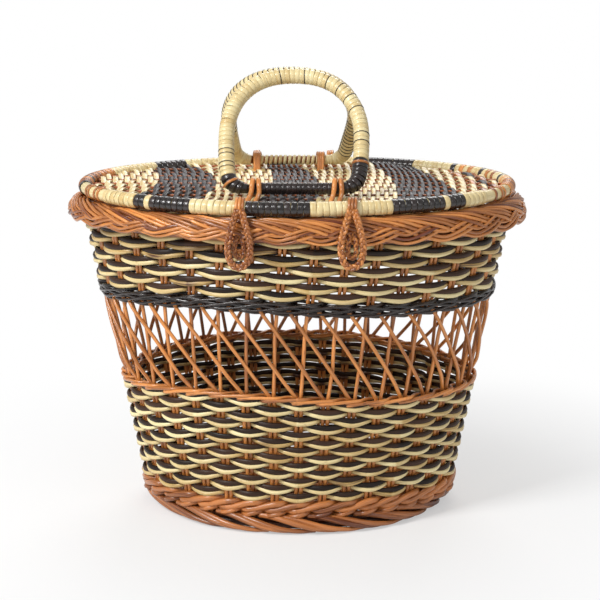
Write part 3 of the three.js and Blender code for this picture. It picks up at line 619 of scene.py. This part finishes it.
def border_points(turns, share, depth):
    """Points at shares of the profile, and the directions out of it; depth is how far outside."""
    out, z = read(fine_profile, fine_run, share).T
    n_out, n_z = read(profile_normal, fine_run, share).T
    out, z = out + n_out * depth, z + n_z * depth
    angle = place_angle(turns)
    behind = np.exp(-(210 * np.cos(angle) / 38) ** 2) * (np.sin(angle) > 0)
    z = z - 2.6 * behind * smooth((z - 308) / 8)
    dip = np.where(np.sin(angle) > 0, np.interp(np.cos(angle), DIP_BEHIND_X, DIP_BEHIND),
                   np.interp(np.cos(angle), DIP_FRONT_X, DIP_FRONT))
    z = z - dip * smooth((319 - z) / 21)
    length = stake_length(BORDER_BOTTOM) + out + BORDER_BULGE * left_end(angle) * smooth(out / 12)
    reach = stake_depth(BORDER_BOTTOM) + out * np.where(out > 0, SIDE_SHARE, 1)
    points = np.stack([length * np.cos(angle), reach * np.sin(angle), z], -1)
    return points, np.stack([np.cos(angle) * n_out, np.sin(angle) * n_out, n_z], -1)


PER_STAKE = 14
BUNDLES, BUNDLE_RODS, BUNDLE_SPREAD = 5, 3, 0.068
TURN, DOWN = 6.0, 0.5  # the pairs that a bundle passes in one turn, and the share of it going down
TOP_SHARE, LOW_SHARE = 0.25, 0.755
# How far outside the profile a bundle lies on its way down and on its way up
OVER_PART, OVER = (0, 0.08, 0.62, 0.8, 1.0), (0.0, 1.4, 1.4, -1.4, 0.3)
UNDER_PART, UNDER = (0, 0.2, 0.38, 0.92, 1.0), (0.3, 1.9, -1.6, -1.6, 0.0)
CORE_DEPTH = -5.2
CORES = ((0.16, 3.6), (0.38, 4.2), (0.6, 4.2), (0.82, 3.6))  # place on the profile, radius
border = Rods()
steps = STAKES * PER_STAKE
s = np.arange(steps) / PER_STAKE
for k in range(BUNDLES):
    way = np.mod(s / TURN + k / BUNDLES, 1)
    down = way < DOWN
    part = np.where(down, way / DOWN, (way - DOWN) / (1 - DOWN))
    middle_share = TOP_SHARE + (LOW_SHARE - TOP_SHARE) * np.where(down, part, 1 - part)
    middle_share = eased(middle_share, 11, "wrap")
    over, under = np.interp(part, OVER_PART, OVER), np.interp(part, UNDER_PART, UNDER)
    depth = eased(np.where(down, over, under), 11, "wrap")
    for rod in range(BUNDLE_RODS):
        share = middle_share + (rod - 1) * BUNDLE_SPREAD + wobble(steps, 0.005, 60)
        tone = np.repeat(rng.uniform(0.1, 1.0, STAKES // 3), 3 * PER_STAKE)
        middle, ups = border_points(s, share, depth + wobble(steps, 0.25, 70))
        border.add(middle, ups, disc(1.68), 1 + wobble(steps, 0.07, 60), closed=True, tone=tone)
# Four plain rods along its inner top edge, and thick rods inside that leave no gap in the plait
for k in range(4):
    share = 0.02 + 0.06 * k + wobble(steps, 0.012, 50)
    middle, ups = border_points(s, share, wobble(steps, 0.4, 60))
    border.add(middle, ups, disc(1.75, 7), 1 + wobble(steps, 0.06, 50), closed=True,
               tone=np.repeat(rng.uniform(0.2, 0.9, STAKES // 3), 3 * PER_STAKE))
# The thick rods inside take the darkest brown tone: painted shade where they show between the
# bundles
for share, radius in CORES:
    middle, ups = border_points(ROUND, np.full(len(ROUND), share), CORE_DEPTH)
    border.add(middle, ups, disc(radius), closed=True, tone=0.0)
border.piece("border_plait", "basket", "brown_willow", [brown], ["rim_border"])


# Lid
def oval_at_border(out):
    """Half length and half depth of the oval that lies this far outside the uprights' tops."""
    length = float(stake_length(BORDER_BOTTOM)) + out
    return length, float(stake_depth(BORDER_BOTTOM)) + out * SIDE_SHARE


lid_length, lid_depth = oval_at_border(LID_OVERHANG)

# The blocks of the checker, each up to an edge that is measured along the front rim
BLOCKS = ((-203, "brown"), (-157, "cream"), (-103, "dark"), (-47, "cream"), (8, "dark"),
          (91, "cream"), (158, "dark"), (181, "cream"), (999, "brown"))
# Where strips lie at the front rim, at the middle of the lid and at the back
STRIP_FRONT = (-215, -157, -103, -47, 8, 91, 158, 181, 215)
STRIP_MIDDLE = (-213, -140, -82, -28, 19, 96, 145, 172, 213)
STRIP_BACK = (-215, -154, -119, -41, -13, 77, 123, 155, 212)


def strip_x(x0, t):
    """Place of a strip that starts at x0 in front, for t from -1 in front to 1 at the back."""
    middle = np.interp(x0, STRIP_FRONT, STRIP_MIDDLE)
    back = np.interp(x0, STRIP_FRONT, STRIP_BACK)
    return x0 * t * (t - 1) / 2 + middle * (1 - t * t) + back * t * (t + 1) / 2


def lid_end(x):
    """The lid reaches a little further at its left end."""
    x = np.asarray(x, float)
    return np.where(x < 0, x - 3.6 * (x / 210) ** 4, x)


def block_at(x):
    """Name of the block at a place that is measured along the front rim."""
    return next(name for edge, name in BLOCKS if x < edge)


def near(x, places, reach):
    return min(abs(x - place) for place in places) < reach


def wrap(rods, centre, along, radius, width, thickness, tilt, tone=None, kind=0):
    """One turn of flat cane round a rod."""
    along = np.asarray(along, float) / np.linalg.norm(along)
    first = np.cross(along, (0, 0, 1.0) if abs(along[2]) < 0.9 else (1.0, 0, 0))
    first /= np.linalg.norm(first)
    second = np.cross(first, along)
    turn = full_turn(18)
    radial = np.cos(turn)[:, None] * first + np.sin(turn)[:, None] * second
    ring = np.asarray(centre) + radial * radius + along * (np.sin(turn) * tilt)[:, None]
    rods.add(ring, radial, flat(width, thickness), closed=True, tone=tone, kind=kind)


# Rim of the lid: a rod wrapped in cane of the colours of the blocks, with stripes in the dark ones.
# Both ends are bare willow in front, apart from single bands.
CREAM, BLACK, BROWN = 1, 2, 3
KINDS = {"cream": CREAM, "dark": BLACK, "brown": BROWN}
RIM_PITCH = 5.9
RIM_EDGES = tuple(0.973 * edge for edge in STRIP_FRONT)
RIM_STRIPES = (-140.0, 137.0)
RIM_BANDS = (-198.5, -189.0, 187.0, 194.0)
BROWN_FRONT, BROWN_BEHIND = -181, -192
BARE_LEFT_Y, BARE_RIGHT_Y, BARE_RIGHT_X = -28, 0, 201
BLACK_BANDS = ((-34, -22), (8, 16))  # from y to y at the left end
RIM_CANE_WIDTH, BAND_WIDTH, RIM_CANE_THICKNESS = 5.8, 3.6, 1.0
RIGHT_END = (CREAM, BROWN, CREAM, BLACK, CREAM, CREAM, BROWN)


def rim_cane(i, x, y):
    """Whether the rim is bare at this wrap, and the kind of its cane."""
    block = block_at(np.interp(x, RIM_EDGES if y < 0 else STRIP_BACK, STRIP_FRONT))
    if x < (BROWN_FRONT if y < 0 else BROWN_BEHIND):
        block = "brown"
    bare = block == "brown" and y < (BARE_LEFT_Y if x < 0 else BARE_RIGHT_Y) and x < BARE_RIGHT_X
    kind = KINDS[block]
    if block == "dark" and y < 0 and near(x, RIM_STRIPES, 3):
        kind = CREAM
    if x < 0 and block == "brown" and any(low < y < high for low, high in BLACK_BANDS):
        kind = BLACK
    if block == "brown" and x > 0 and y > 0:
        kind = RIGHT_END[i % len(RIGHT_END)]
    return bare, kind


rim = Rods()
turn = full_turn(216)
points = [lid_end(lid_length * np.cos(turn)), lid_depth * np.sin(turn), LID_Z + 0 * turn]
rim.add(np.stack(points, -1), UP, disc(LID_ROD - 1.1, 12), closed=True, tone=0.7)
rim_angles = np.linspace(0, 2 * math.pi, 4001)
rim_run = run_round(lid_length, lid_depth, rim_angles)
wraps = int(rim_run[-1] / RIM_PITCH)
for i in range(wraps):
    angle = float(np.interp((i + 0.5) / wraps * rim_run[-1], rim_run, rim_angles))
    x, y = lid_length * math.cos(angle), lid_depth * math.sin(angle)
    along = (-lid_length * math.sin(angle), lid_depth * math.cos(angle), 0)
    bare, kind = rim_cane(i, x, y)
    if bare and not near(x, RIM_BANDS, 2.2):
        continue
    wrap(rim, (float(lid_end(x)), y, LID_Z), along, LID_ROD - 0.6,
         BAND_WIDTH if bare else RIM_CANE_WIDTH, RIM_CANE_THICKNESS, rng.uniform(-0.6, 0.6),
         kind=kind)
rim.piece("lid_rim", "lid", "brown_willow", [cream_cane, cream_cane, black_cane, brown],
          ["lid_frame"])

# Field of the lid: flat strips over and under the sticks, which run from left to right
STRIP_PITCH, STRIP_WIDTH, STRIP_THICKNESS = 4.5, 4.45, 1.3
LAST_STICK_Y = 5 * STICK_PITCH
FIELD_KINDS = {"cream": (0,), "dark": (1,), "brown": (0, 1, 3)}
field = Rods()
inner_length, inner_depth = lid_length - 2.5, lid_depth - 2.5
for j in range(-5, 6):
    y = j * STICK_PITCH
    reach = half_width(y, inner_depth, inner_length) - 2
    x = np.linspace(-reach, reach, 60)
    points = np.stack([lid_end(x), y + wobble(60, 0.3, 12), LID_Z + 0 * x], -1)
    field.add(points, UP, disc(1.4), kind=2)
count = int(2 * inner_length / STRIP_PITCH)
for i in range(count):
    x0 = (i - (count - 1) / 2) * STRIP_PITCH
    if abs(x0) > inner_length - 3:
        continue
    kinds = FIELD_KINDS[block_at(x0)]
    reach = half_width(x0, inner_length, inner_depth)
    y = np.linspace(-reach, reach, max(int(reach / 1.7), 8))
    t = y / reach
    x = strip_x(x0, t) + wobble(len(y), 0.2, 14)
    narrow = np.clip((strip_x(x0 + 2, t) - strip_x(x0 - 2, t)) / 4, 0.6, 1.5)
    held_y = np.clip(y, -LAST_STICK_Y, LAST_STICK_Y)
    wave = np.cos(math.pi * (held_y / STICK_PITCH + i))
    near_rim = smooth((reach - np.abs(y)) / 5)
    under_bar = np.abs(np.abs(y) - HANDLE_BAR_Y) < 12
    height = np.where(wave > 0, 3.1 - 0.9 * under_bar, 1.9)
    z = LID_Z + near_rim * height * wave * (1.2 - 0.2 * wave ** 2) + (1 - near_rim) * 2.4
    field.add(np.stack([lid_end(x), y, z], -1), UP, flat(STRIP_WIDTH, STRIP_THICKNESS), narrow,
              kind=kinds[i % len(kinds)])
field.piece("lid_field", "lid", "checker_cane", [cream_cane, slate_cane, stick_rod, brown],
            ["lid_weave"])

# Lashings: willow turns over the handle bars and down through the lid. Of the strands in front and
# behind: the place of each, their radius, how far apart they lie, how far from the bar's middle
# their inner side runs, and how far they go on along the lid.
LASH_FRONT = ((-1.3, 1.3), 2.35, 2.6, 6.1, 34.0)
LASH_BEHIND = ((-1, 0, 1), 1.7, 3.4, 5.7, 18.0)


def lashing(name, x0, side):
    """side is -1 in front and 1 behind."""
    y0 = side * HANDLE_BAR_Y
    places, radius, apart, inner, tail = LASH_FRONT if side < 0 else LASH_BEHIND
    reach = inner + radius
    arch = np.linspace(0, math.pi, 13)
    y = np.concatenate([[-10.5, -10.2, -9.8], -reach * np.cos(arch),
                        [12.5, 0.6 * tail, tail, tail + 1]])
    z = np.concatenate([[325.2, 330, 335], HANDLE_BAR_Z + reach * np.sin(arch),
                        [337.0, 335.0, 334.2, 328]])
    spread = np.interp(np.arange(len(y)), [0, 8, 16, len(y) - 1], [0.6, 0.75, 1.15, 1.2])
    slant = 0.12 * np.clip(y - 9, 0, None) * (side < 0)
    rods = Rods()
    for place in places:
        points = np.stack([x0 + place * apart * spread - slant, y0 + side * y, z], -1)
        rods.add(points, ACROSS, disc(radius, 9), tone=rng.uniform(0.7, 1))
    y = np.linspace(-10.5, 18.5, 9)
    rods.add(np.stack([x0 + 0 * y, y0 + side * y, 324.2 + 0 * y], -1), ACROSS, disc(1.6))
    rods.piece(f"{name}_lash", "lid", "brown_willow", [brown], [f"{name}_lashing"])


for end, side, lashes in (("front", -1, FRONT_LASHES), ("rear", 1, REAR_LASHES)):
    for hand, x0 in zip(("left", "right"), lashes):
        lashing(f"{end}_{hand}", x0, side)


# Handles
def handle_path(narrow):
    """The loop: its bar, then up the right leg and down the left one. narrow draws the legs in."""
    half = HANDLE_WIDTH / 2 - HANDLE_ROD
    arch_start = 52.0
    angle = np.linspace(0, math.pi, 41)
    arch = np.stack([half * np.sign(np.cos(angle)) * np.abs(np.cos(angle)) ** 0.85,
                     arch_start + (HANDLE_HEIGHT - arch_start) * np.sin(angle) ** 0.85], -1)
    # Across and up, from the corner of the bar to where the leg is upright
    right = np.array([[44, 0], [50, 0.2], [56, 1.6], [61, 5.5], [64, 13], [65.2, 25], [half, 40]])
    bar = np.array([[-44, 0], [-20, 0], [0, 0], [20, 0]])
    path = np.concatenate([bar, right, arch, right[::-1] * (-1, 1)])
    run = run_along(path)
    path = read(path, run, np.linspace(0, run[-1], 170))
    path = np.stack([eased(line, 9, "edge") for line in path.T], -1)
    legs = smooth((np.abs(path[:, 0]) - 20) / 30) * smooth(1.15 - path[:, 1] / 70)
    path[:, 0] -= legs * np.where(path[:, 0] > 0, narrow, -0.45 * narrow)
    return path


# Both handles lean inwards until their loops meet above the middle of the lid
handle_lean = math.acos((HANDLE_BAR_Y - HANDLE_ROD - 0.15 - GRIP_SWELL) / HANDLE_HEIGHT)

GRIP_PITCH = 4.9
GRIP_WIDTH, GRIP_THICKNESS = 4.85, 1.05
LOOP_CORE = HANDLE_ROD - 1.1
FRONT_LINES = ((-65, 46), (-65, 40), (-65, 29), (-65, 25), (-12, 130), (14, 129), (38, 121),
               (46, 114), (57, 100), (62, 88), (65, 60), (65, 50))


def thin_line(side, x, h):
    """Whether a thin black line lies between the cream wraps here."""
    if side < 0:
        return min(math.hypot(x - a, h - b) for a, b in FRONT_LINES) < 2.4
    return (x < 8 and h > 50) or (x > 0 and 8 < h < 64)


def make_handle(name, centre_x, side, lashes, black_at):
    """side is -1 in front and 1 behind; black_at tells where the wrap is black."""
    path = handle_path(2.0 if side < 0 else 8.0)
    run = run_along(path)

    def at(distance):
        x, h = read(path, run, np.clip(distance, 0, run[-1])).T
        return np.stack([centre_x + x, side * (HANDLE_BAR_Y - h * math.cos(handle_lean)),
                         HANDLE_BAR_Z + h * math.sin(handle_lean)], -1), x, h

    loop, bar = Rods(), Rods()
    points, _, height = at(np.linspace(0, run[-1], 200))
    slim = 1.3 if side < 0 else 1.9  # how much thinner the bar is
    scale = 1 - slim / LOOP_CORE * smooth(1 - height / 3)
    loop.add(points, UP, disc(LOOP_CORE, 12), scale, tone=0.1, kind=1 if side < 0 else 2)
    for i in range(int(run[-1] / GRIP_PITCH)):
        distance = (i + 0.5) * GRIP_PITCH
        centre, x, h = at(distance)
        ahead = at(distance + 0.6)[0] - at(distance - 0.6)[0]
        on_bar = h < 1.5 and lashes[0] - centre_x + 2.5 < x < lashes[1] - centre_x - 2.5
        black = black_at(float(x), float(h))
        width = GRIP_WIDTH - (1.7 if on_bar and side > 0 else 0)
        surface = HANDLE_ROD - 0.1 + GRIP_SWELL * float(smooth(h / 12))
        girth = surface - 0.52 - slim * float(smooth(1 - h / 3))
        wrap(bar if on_bar else loop, centre, ahead, girth, width, GRIP_THICKNESS,
             rng.uniform(0.3, 0.8), tone=rng.uniform(0.3, 0.95), kind=1 if black else 0)
        if black and not on_bar and (3 < h < 8 if x < 0 else 27 < h < 36):
            wrap(loop, centre, ahead, surface, 2.6, 1.6, rng.choice((-1.9, 1.9)),
                 tone=rng.uniform(0.2, 1), kind=2)
        if not black and not on_bar and thin_line(side, x, h):
            gap = centre + (ahead / np.linalg.norm(ahead)) * (GRIP_PITCH / 2)
            wrap(loop, gap, ahead, surface, 0.85, 0.5, 0.8, kind=1)
    canes = [cream_cane, black_cane, brown]
    loop.piece(f"{name}_handle_loop", f"{name}_handle", "cream_cane", canes, [f"{name}_handle"])
    bar.piece(f"{name}_bar_cane", f"{name}_handle", "black_cane" if side < 0 else "cream_cane",
              canes, [f"{name}_bar_wrap"])


make_handle("front", FRONT_HANDLE_X, -1, FRONT_LASHES,
            lambda x, h: h < 2 or (x > 0 and h < 33) or (x < 0 and h < 13))
make_handle("rear", REAR_HANDLE_X, 1, REAR_LASHES, lambda x, h: False)


# Closures, beckets and binding rings
def braid(rods, path, lateral, normal, radius, period, tones):
    """Three rods braided along a path that lies upright, facing the front."""
    run = run_along(path)
    even = np.linspace(0, run[-1], max(int(run[-1] / 1.1), 12))
    path = read(path, run, even)
    side, up = sides(np.gradient(path, axis=0), (0.0, -1.0, 0.0))
    for k in range(3):
        phase = 2 * math.pi * (even / period + k / 3)
        points = path + side * (lateral * np.sin(phase))[:, None]
        points = points + up * (normal * np.sin(2 * phase))[:, None]
        rods.add(points, up, disc(radius, 7), 1 + 0.06 * np.sin(phase * 1.7),
                 tone=rng.uniform(*tones))


def tear(width, drop, turn):
    """A drop-shaped loop that hangs from its point."""
    angle = turn * 2 * math.pi
    across = width / 1.54 * np.sin(angle) * np.sin(angle / 2)
    return across, drop * (1 - np.cos(angle)) / 2


def ring(rods, x, y, radius, steps, sway, thickness, phase=0):
    """One turn of a willow rod round the lid's rim, swaying along it."""
    turn = full_turn(steps)
    points = np.stack([x + sway * np.sin(turn + phase), y + radius * np.cos(turn),
                       LID_Z + radius * np.sin(turn)], -1)
    rods.add(points, ACROSS, disc(thickness), closed=True, tone=rng.uniform(0.3, 0.9))


def border_front_y(x):
    """How far the border's face stands in front of the middle."""
    return half_width(x, *oval_at_border(BORDER_FLARE))


CLOSURE_GAP = 0.4  # between the closure and the border's face
BRAID_WIDTH, BRAID_DEPTH = 6.4, 3.0  # of the closure's braid, and from its middle to its back


def closure(name, x0):
    """A braided loop that hangs from three rings round the lid's rim, over the border's face."""
    rods = Rods()
    rod_y = half_width(x0, lid_length, lid_depth)
    for k in range(3):
        radius = LID_ROD + 1.9 + 0.3 * (k == 1)
        ring(rods, x0 + (k - 1) * 2.9, -rod_y, radius, 24, 0.8, 1.55)
    start = rod_y + LID_ROD + BRAID_DEPTH
    hang = border_front_y(abs(x0) - CLOSURE_WIDTH / 2) + CLOSURE_GAP + BRAID_DEPTH
    turn = np.linspace(0.045, 0.955, 60)
    across, down = tear(CLOSURE_WIDTH - BRAID_WIDTH, CLOSURE_DROP, turn)
    across = across - 1.6 * np.sign(turn - 0.5) * np.exp(-down / 9)
    y = -(start + (hang - start) * smooth(down / 14))
    path = np.stack([x0 + across, y, LID_Z + 1.0 - down], -1)
    braid(rods, path, lateral=2.0, normal=1.2, radius=1.6, period=14.0, tones=(0.0, 0.75))
    rods.piece(f"{name}_braid", name, "brown_willow", [brown], [f"{name}_loop"])


def becket(name, x0, root_z, width, drop, coils):
    """A short braided loop out of the border below the closure, with the coils of its knot."""
    rods = Rods()
    y_front = border_front_y(x0)
    turn = np.linspace(0.05, 0.95, 50)
    across, down = tear(width, drop, turn)
    y = -np.interp(down, [0, 5, 14, 30],
                   [y_front - 3.5, y_front + 0.2, y_front - 0.5, y_front - 2.5])
    path = np.stack([x0 + across + np.sign(0.5 - turn), y, root_z - down], -1)
    braid(rods, path, lateral=1.4, normal=0.9, radius=1.3, period=11.0, tones=(0.0, 1.0))
    for radius in coils:
        turn = full_turn(20)
        knot = np.stack([x0 + radius * np.cos(turn), -y_front + 1.4 + 0.9 * np.sin(3 * turn),
                         root_z - 18.6 + radius * np.sin(turn)], -1)
        rods.add(knot, INWARD, disc(1.35, 7), closed=True, tone=rng.uniform(0.2, 0.9))
    rods.piece(f"{name}_braid", name, "brown_willow", [brown], [name])


def binding(name, x0, hinge_y):
    """Three rings at the back, round the lid's rim and the border, which are the hinge."""
    rods = Rods()
    for k in range(3):
        ring(rods, x0 + (k - 1) * 2.7, hinge_y, 12.1 + 0.2 * k, 28, 0.7, 1.45, phase=k)
    rods.piece(name, "basket", "brown_willow", [brown], [f"{name}_ring"])


closure("left_closure", CLOSURES[0])
becket("left_becket", CLOSURES[0], 307.0, 7.0, 21.5, (1.7, 4.1))
closure("right_closure", CLOSURES[1])
becket("right_becket", CLOSURES[1], 309.0, 6.0, 24.0, ())
hinge_y = (lid_depth + half_width(HINGES[0], lid_length, lid_depth)) / 2
binding("left_binding", HINGES[0], hinge_y)
binding("right_binding", HINGES[1], hinge_y)

# Floor, world, lights and camera
WHITE = (1, 1, 1, 1)
FLOOR_GREY = (0.86, 0.86, 0.86, 1)


def show(tree, share, first, second, output):
    """Shows the second shader by the share and the first by the rest."""
    mix = tree.nodes.new("ShaderNodeMixShader")
    for socket, source in zip(mix.inputs, (share, first, second)):
        tree.links.new(source, socket)
    tree.links.new(mix.outputs[0], tree.nodes[output].inputs["Surface"])


def white_floor(name, colour, rough):
    """A floor that the camera sees fade to plain white away from the basket."""
    material, nodes, links, shader = new_material(name)
    shader.inputs["Base Color"].default_value = colour
    shader.inputs["Roughness"].default_value = rough
    glow = nodes.new("ShaderNodeEmission")
    glow.inputs["Color"].default_value = WHITE
    glow.inputs["Strength"].default_value = 1.0
    ray = nodes.new("ShaderNodeLightPath")
    place = nodes.new("ShaderNodeNewGeometry")
    away = nodes.new("ShaderNodeVectorMath")
    away.operation = "LENGTH"
    links.new(place.outputs["Position"], away.inputs[0])
    fade = nodes.new("ShaderNodeMapRange")
    fade.interpolation_type = "SMOOTHSTEP"
    for key, value in (("From Min", 0.2), ("From Max", 0.6), ("To Min", 0.46), ("To Max", 1.0)):
        fade.inputs[key].default_value = value
    links.new(away.outputs["Value"], fade.inputs["Value"])
    share = nodes.new("ShaderNodeMath")
    share.operation = "MULTIPLY"
    links.new(ray.outputs["Is Camera Ray"], share.inputs[0])
    links.new(fade.outputs[0], share.inputs[1])
    show(material.node_tree, share.outputs[0], shader.outputs[0], glow.outputs[0],
         "Material Output")
    return material


bpy.ops.mesh.primitive_plane_add(size=30, location=(0, 6, 0))
floor = bpy.context.object
floor.name = "floor"
floor.data.materials.append(white_floor("floor_white", FLOOR_GREY, 0.9))

scene = bpy.context.scene
world = bpy.data.worlds.new("studio")
scene.world = world
world.use_nodes = True
tree = world.node_tree
background = tree.nodes["Background"]
seen = tree.nodes.new("ShaderNodeBackground")
for shader, strength in ((background, 0.42), (seen, 1.0)):
    shader.inputs["Color"].default_value = WHITE
    shader.inputs["Strength"].default_value = strength
ray = tree.nodes.new("ShaderNodeLightPath")
show(tree, ray.outputs["Is Camera Ray"], background.outputs[0], seen.outputs[0], "World Output")


def area(name, location, target, size, power):
    """A rectangular lamp that shines on a target."""
    light = bpy.data.lights.new(name, "AREA")
    light.shape = "RECTANGLE"
    light.size, light.size_y = size
    light.energy = power
    lamp = bpy.data.objects.new(name, light)
    lamp.location = location
    aim = Vector(target) - Vector(location)
    lamp.rotation_euler = aim.to_track_quat("-Z", "Y").to_euler()
    scene.collection.objects.link(lamp)


area("key", (-1.45, -1.25, 1.85), (0, 0, 0.2), (0.7, 0.7), 50)
area("fill", (1.4, -1.6, 1.0), (0, 0, 0.2), (1.0, 1.0), 4)
area("back", (0.3, 1.8, 1.8), (0, 0, 0.25), (1.4, 0.8), 18)

PHOTO_WIDTH, AXIS_COLUMN = 600, 298.8  # pixels of the photograph, and the column of the axis in it
CAMERA_TILT = 13.11
scene.view_settings.view_transform = "Standard"
camera = bpy.data.objects.new("camera", bpy.data.cameras.new("camera"))
camera.data.lens = 102.0
camera.data.sensor_width = 36.0
camera.data.shift_x = (PHOTO_WIDTH / 2 - AXIS_COLUMN) / PHOTO_WIDTH
camera.data.clip_end = 60
camera.location = (0, -1.691, 0.603)
camera.rotation_euler = Euler((math.radians(90 - CAMERA_TILT), 0, 0), "XYZ")
scene.collection.objects.link(camera)
scene.camera = camera
